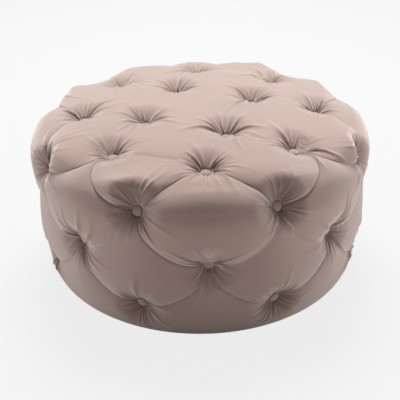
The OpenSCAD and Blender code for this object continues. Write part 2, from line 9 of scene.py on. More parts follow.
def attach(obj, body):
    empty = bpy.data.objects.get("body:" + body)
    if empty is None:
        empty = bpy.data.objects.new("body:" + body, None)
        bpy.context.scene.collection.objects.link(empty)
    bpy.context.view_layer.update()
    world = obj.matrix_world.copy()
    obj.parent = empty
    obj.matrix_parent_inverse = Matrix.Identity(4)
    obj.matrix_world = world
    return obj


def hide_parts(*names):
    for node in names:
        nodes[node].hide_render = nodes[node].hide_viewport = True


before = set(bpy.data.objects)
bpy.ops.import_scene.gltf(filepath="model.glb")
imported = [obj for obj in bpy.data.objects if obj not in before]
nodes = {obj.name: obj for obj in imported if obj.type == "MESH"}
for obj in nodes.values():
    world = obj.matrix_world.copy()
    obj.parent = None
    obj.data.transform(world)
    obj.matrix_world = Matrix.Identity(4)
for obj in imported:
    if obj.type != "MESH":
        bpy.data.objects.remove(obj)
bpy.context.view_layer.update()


# Drum: base ring, uprights, top board and the bent panel round them.
# Birch plywood with its plies at the cut edges, pine blocks, and brown hardboard,
# screwed and nailed together before any padding goes on.
class Wire:
    """One output of a shader node. Arithmetic on it adds Math nodes to the same finish."""

    def __init__(self, finish, socket):
        self.finish, self.socket = finish, socket

    def math(self, operation, first, second=0.0):
        return self.finish.node("Math", {"operation": operation}, {0: first, 1: second})

    def __radd__(self, other):
        return self.math("ADD", self, other)

    def __rsub__(self, other):
        return self.math("SUBTRACT", other, self)

    def __mul__(self, other):
        return self.math("MULTIPLY", self, other)

    def __truediv__(self, other):
        return self.math("DIVIDE", self, other)

    __rmul__ = __mul__


class Finish:
    """A procedural material on one Principled shader."""

    def __init__(self, name, roughness=0.5, metallic=0.0):
        self.material = bpy.data.materials.new(name)
        self.material.use_nodes = True
        self.tree = self.material.node_tree
        self.surface = self.tree.nodes["Principled BSDF"]
        self.set("Roughness", roughness)
        self.set("Metallic", metallic)

    def node(self, kind, settings=None, sockets=None, output=0):
        """Adds a node, with its settings and what goes into its sockets, and gives one output."""
        made = self.tree.nodes.new("ShaderNode" + kind)
        for key, value in (settings or {}).items():
            setattr(made, key, value)
        for key, value in (sockets or {}).items():
            self.feed(made.inputs[key], value)
        return Wire(self, made.outputs[output])

    def feed(self, socket, value):
        if isinstance(value, Wire):
            self.tree.links.new(value.socket, socket)
        else:
            socket.default_value = value

    def set(self, name, value):
        self.feed(self.surface.inputs[name], value)

    def mixed(self, share, one, other):
        """One colour turning into another as share goes from 0 to 1.

        A Mix node's colours are its sockets 6 and 7 and its output 2.
        """
        one, other = (c if isinstance(c, Wire) else (*c, 1) for c in (one, other))
        return self.node("Mix", {"data_type": "RGBA"}, {0: share, 6: one, 7: other}, output=2)

    def place(self, scale=(1, 1, 1)):
        """Object coordinates in metres, stretched by scale."""
        here = self.node("TexCoord", output="Object")
        return self.node("Mapping", None, {"Vector": here, "Scale": scale})

    def upright(self, vector):
        """The z part of a vector."""
        return self.node("SeparateXYZ", None, {0: vector}, output="Z")

    def noise(self, vector, scale, detail=3.0, rough=0.5):
        """Cloudy noise from 0 to 1, with scale cells to the unit."""
        return self.node(
            "TexNoise",
            {"noise_dimensions": "3D"},
            {"Vector": vector, "Scale": scale, "Detail": detail, "Roughness": rough},
        )

    def bump(self, height, distance, strength=1.0, normal=None):
        """A normal tilted as if height, from 0 to 1, rose by distance in metres."""
        sockets = {"Height": height, "Distance": distance, "Strength": strength}
        if normal is not None:
            sockets["Normal"] = normal
        return self.node("Bump", None, sockets)


def wear(finish, *names):
    """Puts a finish on CAD nodes through their material slots."""
    for name in names:
        for slot in nodes[name].material_slots:
            slot.material = finish.material


PLY = 0.0015
PLY_SHOWS = 0.45


def wood(name, light, dark, grain, plies=0.0):
    """Grain is noise drawn out along one axis; plies are bands in height, seen at cut edges."""
    f = Finish(name, roughness=0.6)
    lines = f.noise(f.place(grain), 9.0, detail=6.0, rough=0.65)
    shade = f.mixed(lines, light, dark)
    if plies:
        layers = f.upright(f.place()) / (2 * plies)
        band = layers.math("FRACT", layers)
        facing_up = f.upright(f.node("NewGeometry", output="Normal"))
        edge = 1 - facing_up.math("ABSOLUTE", facing_up)
        dark_ply = band.math("GREATER_THAN", band, 0.5) * edge * PLY_SHOWS
        shade = f.mixed(dark_ply, shade, dark)
    f.set("Base Color", shade)
    f.set("Normal", f.bump(lines, 0.0004))
    return f


birch = wood("birch_plywood", (0.66, 0.48, 0.29), (0.46, 0.30, 0.16), (1, 14, 1), PLY)
pine = wood("pine_blocks", (0.72, 0.53, 0.30), (0.55, 0.36, 0.17), (12, 12, 0.8))
hardboard = wood("hardboard", (0.33, 0.20, 0.11), (0.22, 0.13, 0.07), (30, 30, 30))
wear(birch, "base_ring", "top_board")
wear(pine, "uprights")
wear(hardboard, "side_panel")


# Screws, nails and staples that hold the drum and the cloth.
# Zinc-plated steel, with the faint mottle of the plating.
def plated(name, colour, roughness):
    """Bare metal: its colour and its roughness follow one fine mottle."""
    f = Finish(name, roughness=roughness, metallic=1.0)
    mottle = f.noise(f.place(), 900.0)
    f.set("Base Color", f.mixed(mottle, colour, [c * 0.8 for c in colour]))
    f.set("Roughness", roughness + 0.12 * mottle)
    return f


wear(plated("zinc_plate", (0.72, 0.73, 0.75), 0.32), "base_screws", "top_board_screws")
wear(plated("bright_nail", (0.45, 0.46, 0.48), 0.38), "side_panel_nails")
wear(plated("staple_steel", (0.75, 0.76, 0.78), 0.28), "cover_staples", "dust_cover_staples")
wear(plated("glide_screw_steel", (0.70, 0.71, 0.73), 0.30), "glide_screws")


# Ties: flat button backs with their eyes, twine, and washers behind board and panel.
# Tinned steel backs, waxed cotton twine laid in two strands, and black moulded washers.
def moulded(name, colour, paler, roughness):
    """Plastic with a fine moulded grain."""
    f = Finish(name, roughness=roughness)
    grain = f.noise(f.place(), 1200.0)
    f.set("Base Color", f.mixed(grain, colour, paler))
    f.set("Normal", f.bump(grain, 0.0002))
    return f


wear(plated("tinned_backs", (0.80, 0.80, 0.80), 0.35), "button_backs_top", "button_backs_side")
wear(
    moulded("black_washers", (0.022, 0.022, 0.024), (0.04, 0.04, 0.043), 0.5),
    "tie_washers_top",
    "tie_washers_side",
)

twine = Finish("waxed_twine", roughness=0.7)
strand = twine.node(
    "TexWave",
    {"wave_type": "BANDS", "bands_direction": "DIAGONAL"},
    {"Vector": twine.place(), "Scale": 900.0, "Distortion": 0.5},
)
twine.set("Base Color", twine.mixed(strand, (0.62, 0.55, 0.42), (0.84, 0.79, 0.67)))
twine.set("Normal", twine.bump(strand, 0.0003))
wear(
    twine,
    "twine_top_inner",
    "twine_top_outer",
    "twine_side_upper",
    "twine_side_middle",
    "twine_side_lower",
)


# Velvet cover over wadding and foam: one top and four sides, drawn down by 36 buttons.
# Each piece is a closed pad whose outside is the tufted velvet with its folds and gathers;
# it stands for the cloth and the soft layers behind it, and meets its neighbours in the creases.
MM = 0.001  # lengths in this section are in mm, as in the solids' source
OVERALL_R, BASE_R, BELLY_Z, OVERALL_H, DOME_H = 425, 402, 240, 400, 12
SHOULDER_P, TUCK_P = 5.0, 2.8
HEM_Z, HEM_CORNER_R, HEM_ARC, HEM_IN_R = 6.6, 8.0, 0.6, 342
SHOULDER_H = OVERALL_H - DOME_H - BELLY_Z
HEM_TILT = math.atan((OVERALL_R - BASE_R) * TUCK_P / (BELLY_Z - HEM_Z - HEM_CORNER_R))
EDGE_Z = HEM_Z + HEM_CORNER_R * (1 - math.sin(HEM_TILT))
TUCK_H = BELLY_Z - EDGE_Z
V_EDGE = 2 + TUCK_H / SHOULDER_H
HEM_MID_R = BASE_R - HEM_CORNER_R * math.cos(HEM_TILT)


def crest(v):
    """Radius and height in mm of the unbuttoned cushion's profile.

    v is 0 in the middle of the top, 1 on the shoulder, 2 at the widest place and V_EDGE at the
    bottom edge. Above the belly it is a squarish superellipse with a slight dome; below, the
    side tucks in as a power of the drop; past V_EDGE it rounds the edge and runs in under it.
    """
    s = np.clip(v, 0, 2)
    t = np.where(s < 1, s, 2 - s)
    square = (1 + t**SHOULDER_P) ** (-1 / SHOULDER_P)
    x = np.where(s < 1, s * square, square)
    y = np.where(s < 1, square, t * square)
    drop = np.clip((v - 2) * SHOULDER_H / TUCK_H, 0, 1)
    r = OVERALL_R * x - (OVERALL_R - BASE_R) * drop**TUCK_P
    z = BELLY_Z + SHOULDER_H * y + DOME_H * (1 - x * x) - TUCK_H * drop
    turn = HEM_TILT + (math.pi / 2 - HEM_TILT) * np.clip((v - V_EDGE) / HEM_ARC, 0, 1)
    run = np.clip((v - V_EDGE - HEM_ARC) / (1 - HEM_ARC), 0, 1)
    r_hem = HEM_MID_R + HEM_CORNER_R * np.cos(turn) - (HEM_MID_R - HEM_IN_R) * run
    z_hem = HEM_Z + HEM_CORNER_R * (1 - np.sin(turn))
    return np.where(v > V_EDGE, r_hem, r), np.where(v > V_EDGE, z_hem, z)


def crest_normal(v):
    """Unit normal of that profile, from the difference of two near points."""
    step = 1e-4
    r0, z0 = crest(np.maximum(v - step, 0))
    r1, z1 = crest(v + step)
    size = np.hypot(r1 - r0, z1 - z0)
    return (z0 - z1) / size, (r1 - r0) / size


# BAY is the angle from button to button in a row, and TURN the angle of the first one
TURN, BAY = 24.5, 45.0
TABLE_ROWS = 60001


def v_at(aim, of_height):
    """The v whose profile radius, or height, is aim: read off a fine table of the profile."""
    v = np.linspace(0.0, V_EDGE, TABLE_ROWS)
    r, z = crest(v)
    if of_height:
        return float(np.interp(-aim, -z, v))
    return float(np.interp(aim, r[v < 1], v[v < 1]))


# Two rows of buttons stand on the top, each at a radius, and three on the side, each at a
# height. The upper row's height leaves out the dome, so it is turned into a v first.
INNER_R, OUTER_R, UPPER_Z, MIDDLE_Z, LOWER_Z = 146, 293, 333.0, 200, 75
UPPER_Y = (UPPER_Z - BELLY_Z) / SHOULDER_H
UPPER_V = 2 - UPPER_Y * (1 - UPPER_Y**SHOULDER_P) ** (-1 / SHOULDER_P)
V_RING = {
    "inner": v_at(INNER_R, of_height=False),
    "outer": v_at(OUTER_R, of_height=False),
    "upper": v_at(float(crest(np.array(UPPER_V))[1]), of_height=True),
    "middle": v_at(MIDDLE_Z, of_height=True),
    "lower": v_at(LOWER_Z, of_height=True),
}
TUFT_AT = list(V_RING.values())
TUFT_DEPTH = [26.0, 26.0, 38.0, 36.0, 28.0]
FLOOR_D = 20.0


def tuft(v):
    """Depth of the tufts in mm, run evenly from ring to ring and out at the bottom edge."""
    return np.interp(
        v,
        TUFT_AT + [TUFT_AT[-1] + FLOOR_D / SHOULDER_H, V_EDGE],
        TUFT_DEPTH + [TUFT_DEPTH[-1], 0.0],
    )


def button(ring, k):
    """A button as its place on the map: v and angle in degrees, counted in bays.

    The map lays the cushion flat: a place on it is v away from the middle, at that angle.
    """
    return (V_RING[ring], TURN + BAY * k)


# A patch has CELLS cells along each side in the velvet and COARSE at the back of the pad
CELLS, COARSE = 84, 6
PER_COARSE = CELLS // COARSE
CROWDING = 0.5


def crowded(count):
    """Shares from 0 to 1, less a low sine wave, so that they stand closer near both ends."""
    s = np.linspace(0, 1, count + 1)
    bunched = s - CROWDING * np.sin(2 * np.pi * s) / (2 * np.pi)
    bunched[0], bunched[-1] = 0, 1
    return bunched


SHARES = crowded(CELLS)


def on_map(v, degrees):
    """A place as a point of the flat map: v away from the middle, at an angle."""
    a = np.radians(degrees)
    return np.stack([v * np.cos(a), v * np.sin(a)], -1)


# How a crease bends on its way down: above 1 it falls at first and then runs level, below -1 it
# runs level at first. On the shoulder the two kinds take turns from button to button.
SHOULDER_BEND = [1.8, -1.33]
SIDE_BEND = {("upper", "middle"): 1.9, ("middle", "lower"): 1.6}


def bent(t, bend):
    """Share of the drop after share t of the turn: a quarter of a superellipse."""
    if bend > 0:
        return (1 - (1 - t) ** bend) ** (1 / bend)
    return 1 - (1 - t**-bend) ** (-1 / bend)


def bend_between(high, low):
    """The bend of the crease between two buttons: by their rings, or straight."""
    for (above, below), bend in SIDE_BEND.items():
        if (high[0], low[0]) == (V_RING[above], V_RING[below]):
            return bend
    if (high[0], low[0]) == (V_RING["outer"], V_RING["upper"]):
        return SHOULDER_BEND[round((high[1] - TURN) / BAY - 0.5) % 2]
    return 1.0


def on_crease(p, q, t):
    """Points at the shares t of a crease between two buttons.

    A crease in one ring is a straight line on the map. Any other turns evenly and falls as
    its bend says, from the higher button to the lower.
    """
    t = np.asarray(t)
    if p[0] == q[0]:
        return on_map(*p) * (1 - t)[..., None] + on_map(*q) * t[..., None]
    high, low, s = (p, q, t) if p[0] < q[0] else (q, p, 1 - t)
    s = np.clip(s, 0, 1)
    v = high[0] + (low[0] - high[0]) * bent(s, bend_between(high, low))
    return on_map(v, high[1] * (1 - s) + low[1] * s)


def in_patch(c, a, b):
    """Coons patch: the two blends of opposite creases, less the blend of the corners."""
    A, B = a[..., None], b[..., None]
    corners = [on_map(*p) for p in c]
    return (
        on_crease(c[0], c[1], a) * (1 - B)
        + on_crease(c[3], c[2], a) * B
        + on_crease(c[0], c[3], b) * (1 - A)
        + on_crease(c[1], c[2], b) * A
        - (corners[0] * (1 - A) + corners[1] * A) * (1 - B)
        - (corners[3] * (1 - A) + corners[2] * A) * B
    )


def humped(t):
    """A parabola that is 0 at both ends and 1 in the middle."""
    return np.clip(4 * t * (1 - t), 0, 1)


# Where a crease lies at each ring, as a share of the way up from the tuft's floor: on the top
# as high as the panels beside it, so hardly marked, and lower and lower on the side
CREASE_AT = [1.16, 1.02, 0.76, 0.68, 0.66]

# How far a panel stands proud of the profile, as a share of the tuft's depth: evenly by PROUD,
# and in its middle by BULGE as well, which squares the shoulder
PROUD_AT = [0.5, 0.72, 0.92, 1.06, 1.2, 1.36, 1.8, 2.3]
PROUD = [0.18, 0.2, 0.22, 0.24, 0.18, 0.1, 0.05, 0.0]
BULGE = [0.0, 0.0, 0.16, 0.42, 0.26, 0.06, 0.0, 0.0]
PLUMP = 0.56


def panel(v, rise):
    """A panel's height as a share: the crease round it, a steep start and a broad, proud crown.

    rise is 0 on the crease and 1 in the middle. Its power PLUMP, below 1, makes the panel full.
    """
    lift = np.interp(v, TUFT_AT, CREASE_AT)
    rise = np.clip(rise, 0, 1)
    crown = 1 + np.interp(v, PROUD_AT, PROUD) + np.interp(v, PROUD_AT, BULGE) * rise
    return lift + (crown - lift) * rise**PLUMP


def diamond(c, seams, even=0.0):
    """A panel between four buttons. even above 0 spaces the rows of one that ends in a point.

    Each patch is its places on the map, its heights as shares, and the sides that are seams.
    """
    b, a = np.meshgrid(SHARES, SHARES, indexing="ij")
    at = in_patch(c, a - even * a * a * (1 - a) * humped(b), b)
    return at, panel(np.linalg.norm(at, axis=-1), humped(a) * humped(b)), seams


def bay_half(start, end, lower_first, seams):
    """Half of the panel between two creases of the bottom row and the bottom edge.

    Its columns run straight down the map, from the crease to the edge.
    """
    b, t = np.meshgrid(SHARES, SHARES, indexing="ij")
    u = t if lower_first else 1 - t
    fall = bent(1 - u, SIDE_BEND["middle", "lower"])
    crease_v = V_RING["middle"] + (V_RING["lower"] - V_RING["middle"]) * fall
    v = crease_v * (1 - b) + V_EDGE * b
    return on_map(v, start + (end - start) * t), panel(v, b * (2 - b)), seams


def hem_half(start, end, seams):
    """The hem under that half, round the edge and in under the base."""
    b, t = np.meshgrid(SHARES, SHARES, indexing="ij")
    return on_map(V_EDGE + b, start + (end - start) * t), np.ones_like(b), seams


def top_patches():
    """The middle panel, then in each quarter one beyond it, one across a shoulder, one corner."""
    made = [diamond([button("inner", k) for k in (0, 2, 4, 6)], [])]
    for k in (0, 2, 4, 6):
        here, following = button("inner", k), button("inner", k + 2)
        before, after, beyond = (button("outer", k + s) for s in (-0.5, 0.5, 1.5))
        tip, next_tip = button("upper", k), button("upper", k + 1)
        made.append(diamond([here, after, beyond, following], []))
        made.append(diamond([here, before, tip, after], [1, 2]))
        made.append(diamond([after, next_tip, next_tip, beyond], [0, 2], even=1.0))
    return made


def side_patches(first):
    """Two bays of the side: panels between the rows, the bottom panels and the hem."""
    made = []
    for k in (first, first + 1):
        starts, ends = k == first, k == first + 1
        top, left, right = button("outer", k + 0.5), button("upper", k), button("upper", k + 1)
        middle, next_middle = button("middle", k + 0.5), button("middle", k + 1.5)
        foot = button("lower", k + 1)
        made.append(diamond([top, left, middle, right], [0, 3, 1] if starts else [0, 3]))
        made.append(diamond([right, middle, foot, next_middle], [2, 3] if ends else []))
        low, mid, next_low = (TURN + BAY * (k + s) for s in (0, 0.5, 1))
        made.append(bay_half(next_low, mid, True, [3] if ends else []))
        made.append(bay_half(mid, low, False, [0, 1] if starts else []))
        made.append(hem_half(next_low, mid, [2, 3] if ends else [2]))
        made.append(hem_half(mid, low, [2, 1] if starts else [2]))
    return made


PIECES = {
    "velvet_top": top_patches(),
    "velvet_side_front": side_patches(5),
    "velvet_side_right": side_patches(7),
    "velvet_side_back": side_patches(9),
    "velvet_side_left": side_patches(11),
}
patches = [p for made in PIECES.values() for p in made]
on_plan = np.stack([p[0] for p in patches])
share = np.stack([p[1] for p in patches])

v_all = np.linalg.norm(on_plan, axis=-1)
way = on_plan / np.maximum(v_all, 1e-9)[..., None]
n_out, n_up = crest_normal(v_all)
crest_r, crest_z = crest(v_all)


def solid(r, z):
    """Points from radius and height, each in its own direction on the plan."""
    return np.concatenate([way * r[..., None], z[..., None]], -1)


on_crest = solid(crest_r, crest_z)
normal = solid(n_out, n_up)

BUTTON_ROWS = {
    "top_inner": [button("inner", k) for k in (0, 2, 4, 6)],
    "top_outer": [button("outer", k + 0.5) for k in range(8)],
    "side_upper": [button("upper", k) for k in range(8)],
    "side_middle": [button("middle", k + 0.5) for k in range(8)],
    "side_lower": [button("lower", k) for k in range(8)],
}


def button_frame(place):
    """The middle of a tuft's floor, its outward axis, the ways down and round, and its depth."""
    v, degrees = place
    a = math.radians(degrees)
    out = np.array([math.cos(a), math.sin(a), 0.0])
    r, z = (float(x) for x in crest(np.array(v)))
    nr, nz = (float(x) for x in crest_normal(np.array(v)))
    axis = out * nr + np.array([0, 0, nz])
    down = out * nz - np.array([0, 0, nr])
    around = np.array([-math.sin(a), math.cos(a), 0.0])
    deep = float(tuft(np.array(v)))
    return out * r + np.array([0, 0, z]) - axis * deep, axis, down, around, deep


frames = [(row, button_frame(p)) for row, places in BUTTON_ROWS.items() for p in places]

# Each button stands in a pit: flat under it, steep beside it and easy further out. How far a
# place is from the button is measured on the tufts' floor close by and on the profile beyond.
FLOOR_R, SLOPE_W = 9.5, 60.0
PIT_W = 144.0  # places further out than this are left alone
TURNOVER = 50  # width over which the one measure turns into the other
STEEPNESS, EASING = 0.9, 1.8
depth = tuft(v_all)
for _, (spot, axis, _, _, deep) in frames:
    above = np.linalg.norm(on_crest - (spot + axis * deep), axis=-1)
    close = above < FLOOR_R + PIT_W
    below = np.linalg.norm((on_crest - normal * depth[..., None])[close] - spot, axis=-1)
    far = np.clip((below - FLOOR_R) / TURNOVER, 0, 1)
    reach = below + (above[close] - below) * far
    rise = np.clip((reach - FLOOR_R) / SLOPE_W, 0, 1)
    share[close] *= 1 - (1 - rise**STEEPNESS) ** EASING
surface = on_crest - normal * (depth * (1 - share))[..., None]


PER_MM = 1e4


def joined(points):
    """Numbers the grid's points: those in one place, to a part in PER_MM of a mm, share one."""
    keys = np.round(points.reshape(-1, 3) * PER_MM).astype(np.int64)
    _, first, number = np.unique(keys, axis=0, return_index=True, return_inverse=True)
    return first, number.reshape(points.shape[:-1])


first, number = joined(surface)


def smooth_normals(flat, number):
    """Normals of the joined surface: each is the sum of its faces' cross products."""
    grid = flat[number]
    across = grid[:, 1:, 1:] - grid[:, :-1, :-1]
    other = grid[:, :-1, 1:] - grid[:, 1:, :-1]
    face = np.cross(across, other)
    outward = np.sum(face * normal[:, :-1, :-1], -1).mean((1, 2))
    face = face * np.sign(outward)[:, None, None, None]
    total = np.zeros_like(flat)
    ends = (slice(0, -1), slice(1, None))
    for cols in ends:
        for rows in ends:
            spots = number[:, rows, cols].ravel()
            for axis in range(3):
                total[:, axis] += np.bincount(spots, face[..., axis].ravel(), len(flat))
    return total / np.maximum(np.linalg.norm(total, axis=1), 1e-9)[:, None]


flat = surface.reshape(-1, 3)[first]

# Gathers: the cloth's surplus stands in folds that fan out from each button, no two alike.
# FOLDS gives how many there are round a button of each row, and how tall they are.
rng = np.random.default_rng(12)
FOLDS = {
    "top_inner": (15, 14.0),
    "top_outer": (16, 14.5),
    "side_upper": (22, 12.5),
    "side_middle": (20, 10.0),
    "side_lower": (18, 10.5),
}
FOLD_REACH = 135  # past this far from a button, all its folds have died out
FOLD_START, RIM_W = 8.5, 8.0  # where folds begin, and how soon they are at their height
FOLD_CREST_R = 18.0  # where they begin to die out
SHORTEST, LONGEST = 40, 78  # how far out they end
EXTRA, EXTRA_SHARE = 52, 0.35  # how much further some end, and the share of those
NEAR_R, NEAR_SHARE = 40, 0.55  # where they are full, and their share of that at the middle
WAVES, WAVE_TALL, WAVE_PHASE, WAVE_SLANT = (1, 2, 3), (0.5, 1.2), 6.3, 0.012
SWAY = 0.55  # how much of the wave a fold follows, in widths of a fold
LOWEST, UNEVEN = 0.35, 1.2  # share of the lowest fold, and the power that makes low ones common
BLUNT, SHARPNESS = 0.01, 1.6  # rounds a fold's ridge, and hollows its sides
FADING = 1.2
FINE_TALL, FINE_PACE = 0.3, 1.25  # finer folds between: their share, and how much sooner they end
EDGE_FADE = 0.12


def fold_heights(theta, r, count):
    """Narrow ridges of spare cloth with broad valleys between them: 1 - |cos| of the angle.

    They waver by a sum of slow sine waves, and each has its own height and length. They rise
    from the button's rim and die out evenly.
    """
    waver = sum(
        rng.uniform(*WAVE_TALL)
        * np.sin(
            np.radians(k * theta)
            + rng.uniform(0, WAVE_PHASE)
            + r * rng.uniform(-WAVE_SLANT, WAVE_SLANT)
        )
        for k in WAVES
    )
    turns = (theta / 360 * count + waver * SWAY) % count
    which = np.floor(turns).astype(int) % count
    inside = turns - np.floor(turns)
    height = rng.uniform(LOWEST, 1.0, count) ** UNEVEN
    length = rng.uniform(SHORTEST, LONGEST, count)
    length = length + EXTRA * (rng.uniform(0, 1, count) < EXTRA_SHARE)
    ridge = (1 - np.sqrt(np.cos(np.pi * inside) ** 2 + BLUNT)).clip(0) ** SHARPNESS
    rim = np.clip((r - FOLD_START) / RIM_W, 0, 1)
    out = np.clip(1 - (r - FOLD_CREST_R) / (length[which] - FOLD_CREST_R), 0, 1)
    swell = NEAR_SHARE + (1 - NEAR_SHARE) * np.clip(r / NEAR_R, 0, 1)
    return height[which] * ridge * rim * rim * (3 - 2 * rim) * out**FADING * swell


# push is how far each point rises. gather is the way to its button, with a number of that
# button's own, and the pull share is how hard the cloth is drawn there and how much shade is
# painted into the velvet round the button: both are for the velvet's finish.
push = np.zeros(len(flat))
gather = np.zeros((len(flat), 3))
pull_and_shade = np.zeros(len(flat))
nearest = np.full(len(flat), np.inf)
# These shape the pull share round each button, and with it the shade painted into the velvet
# there
PULL_START, PULL_FULL, PULL_W, PULL_FADING = 9, 17, 55, 1.3
SLICE = 0.37  # step from one button's number to the next, so that each has its own streaks
for index, (row, (spot, _, down, around, _)) in enumerate(frames):
    near = np.linalg.norm(flat - spot, axis=1) < FOLD_REACH
    here = flat[near] - spot
    u, w = here @ around, -(here @ down)
    r = np.maximum(np.hypot(u, w), 1e-6)
    theta = np.degrees(np.arctan2(u, w))
    count, tall = FOLDS[row]
    push[near] += tall * fold_heights(theta, r, count)
    push[near] += FINE_TALL * tall * fold_heights(theta, r * FINE_PACE, count * 2 + 3)
    closer = near.copy()
    closer[near] = r < nearest[near]
    keep = closer[near]
    nearest[closer] = r[keep]
    gather[closer] = np.stack([u / r, w / r, np.full(len(r), SLICE * index)], 1)[keep]
    tight = np.clip((r - PULL_START) / (PULL_FULL - PULL_START), 0, 1)
    loose = np.clip(1 - (r - PULL_FULL) / PULL_W, 0, 1) ** PULL_FADING
    pull_and_shade[closer] = (tight * loose)[keep]

# Folds rise along the cushion's own normal, so that none cross each other in a crease, and
# die out above the bottom edge
push *= np.clip((V_EDGE - v_all.ravel()[first]) / EDGE_FADE, 0, 1)
flat = flat + normal.reshape(-1, 3)[first] * push[:, None]
facing = smooth_normals(flat, number)
PAD_T = 12.0


def pad_mesh(name, start, made):
    """A closed pad: the velvet's grid outside, a coarse grid PAD_T in, and rims at the seams."""
    grid = number[start : start + len(made)]
    used, inverse = np.unique(grid, return_inverse=True)
    outer = inverse.reshape(grid.shape)
    coarse = outer[:, ::PER_COARSE, ::PER_COARSE]
    inner_used, inner = np.unique(coarse, return_inverse=True)
    inner = inner.reshape(coarse.shape) + len(used)
    behind = used[inner_used]
    points = np.concatenate([flat[used], flat[behind] - facing[behind] * PAD_T])

    def quads(g):
        """The four-sided faces of each patch's grid."""
        corners = [g[:, :-1, :-1], g[:, :-1, 1:], g[:, 1:, 1:], g[:, 1:, :-1]]
        return np.stack(corners, -1).reshape(-1, 4)

    def edge(g, side):
        """One side of a patch's grid, with its points in turn round the patch."""
        return [g[0], g[:, -1], g[-1][::-1], g[:, 0][::-1]][side]

    faces = np.concatenate([quads(outer), quads(inner)[:, ::-1]])
    triangles = []
    for p, (_, _, seams) in enumerate(made):
        for side in seams:
            fine, rough = edge(outer[p], side), edge(inner[p], side)
            j = np.arange(CELLS)
            apex = (j + PER_COARSE // 2) // PER_COARSE
            triangles.append(np.stack([fine[j + 1], fine[j], rough[apex]], 1))
            k = np.arange(COARSE)
            middle = fine[k * PER_COARSE + PER_COARSE // 2]
            triangles.append(np.stack([middle, rough[k], rough[k + 1]], 1))
    # A quad with two corners in one place becomes a triangle, and one with more goes
    same = faces == np.roll(faces, -1, axis=1)
    for i in range(4):
        thin = faces[same[:, i]]
        triangles.append(np.stack([thin[:, i], thin[:, (i + 2) % 4], thin[:, (i + 3) % 4]], 1))
    triangles = np.concatenate(triangles)
    sound = (triangles != np.roll(triangles, -1, axis=1)).all(1)
    mesh = bpy.data.meshes.new(name)
    fill(mesh, points * MM, faces[~same.any(1)], triangles[sound])
    put_right(mesh)
    # The pull share is also the mask of the shade painted into the velvet round the buttons
    for label, kind, values in (("gather", "FLOAT_VECTOR", gather), ("pull_and_shade", "FLOAT", pull_and_shade)):
        both = np.concatenate([values[used], values[behind]]).astype(np.float32)
        layer = mesh.attributes.new(label, kind, "POINT")
        layer.data.foreach_set("vector" if both.ndim == 2 else "value", both.ravel())
    return mesh


def fill(mesh, points, quads, triangles):
    """Writes whole arrays of points, four-sided and three-sided faces into a mesh."""
    loops = np.concatenate([quads.ravel(), triangles.ravel()]).astype(np.int32)
    sizes = np.concatenate([np.full(len(quads), 4), np.full(len(triangles), 3)])
    starts = np.concatenate([[0], np.cumsum(sizes)[:-1]]).astype(np.int32)
    mesh.vertices.add(len(points))
    mesh.vertices.foreach_set("co", points.astype(np.float32).ravel())
    mesh.loops.add(len(loops))
    mesh.loops.foreach_set("vertex_index", loops)
    mesh.polygons.add(len(sizes))
    mesh.polygons.foreach_set("loop_start", starts)
    mesh.polygons.foreach_set("use_smooth", np.ones(len(sizes), bool))
    mesh.update(calc_edges=True)
    mesh.validate()


def put_right(mesh):
    """Turns every face of a closed shell outwards."""
    shell = bmesh.new()
    shell.from_mesh(mesh)
    bmesh.ops.recalc_face_normals(shell, faces=shell.faces)
    shell.to_mesh(mesh)
    shell.free()


def velvet(name, base, deep):
    """Short dense pile: matt, lighter where it is seen edge-on, mottled where it was brushed.

    Round a button it is gathered in fine lines, bumped into the pile, with shade painted darker
    into them.
    """
    f = Finish(name, roughness=0.9)
    brushed = f.noise(f.place(), 7.0, detail=4.0, rough=0.6)
    pile = f.noise(f.place(), 1400.0, detail=2.0)
    shade = f.mixed(brushed, base, deep)
    shade = f.mixed(pile * 0.25, shade, [c * 0.72 for c in deep])
    gathered = f.node("Attribute", {"attribute_name": "gather"}, output="Vector")
    pulled_and_shaded = f.node("Attribute", {"attribute_name": "pull_and_shade"}, output="Fac")
    lines = f.noise(gathered, 5.5, detail=2.0, rough=0.5) * pulled_and_shaded
    # Painted shade: where the gathered lines and the pull meet, the colour darkens to half the
    # deep tone, for the shade in the folds round each button
    f.set("Base Color", f.mixed(lines * 0.7, shade, [c * 0.5 for c in deep]))
    f.set("Normal", f.bump(pile, 0.0003, 0.5, f.bump(lines, 0.006, 0.6)))
    f.set("Sheen Weight", 1.0)
    f.set("Sheen Roughness", 0.62)
    f.set("Sheen Tint", (1.0, 0.93, 0.885, 1))
    f.set("Specular IOR Level", 0.25)
    return f


cloth = velvet("blush_velvet", (0.395, 0.252, 0.217), (0.31, 0.207, 0.175))

STANDS_FOR = {
    "velvet_top": ["cover_top", "seat_wadding", "seat_foam"],
    "velvet_side_front": ["cover_side_front", "side_wadding_front"],
    "velvet_side_right": ["cover_side_right"],
    "velvet_side_back": ["cover_side_back", "side_wadding_back"],
    "velvet_side_left": ["cover_side_left", "side_foam"],
}
start = 0
for name, made in PIECES.items():
    mesh = pad_mesh(name, start, made)
    start += len(made)
    pad = bpy.data.objects.new(name, mesh)
    bpy.context.scene.collection.objects.link(pad)
    mesh.materials.append(cloth.material)
    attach(pad, "root")
    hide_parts(*STANDS_FOR[name])


# Covered buttons: a domed cap wrapped in the same velvet, its edge drawn in behind.
# The cloth puckers a little where it turns over the rim.
BUTTON_R, BUTTON_H, BUTTON_LIFT = 11.9, 5.4, 2.4
ROUND, RINGS = 48, 22
FRONT_SHARE, RIM_Z = 0.62, 1.4  # how much of the profile is the front, and the rim's height
FULL_R, FULL_Z, TAPER = 0.85, 0.9, 1.6  # powers that fill out the dome and draw in the back
PUCKERS, PUCKER_SHARE, PUCKER_TURN = 11, 0.012, 0.7


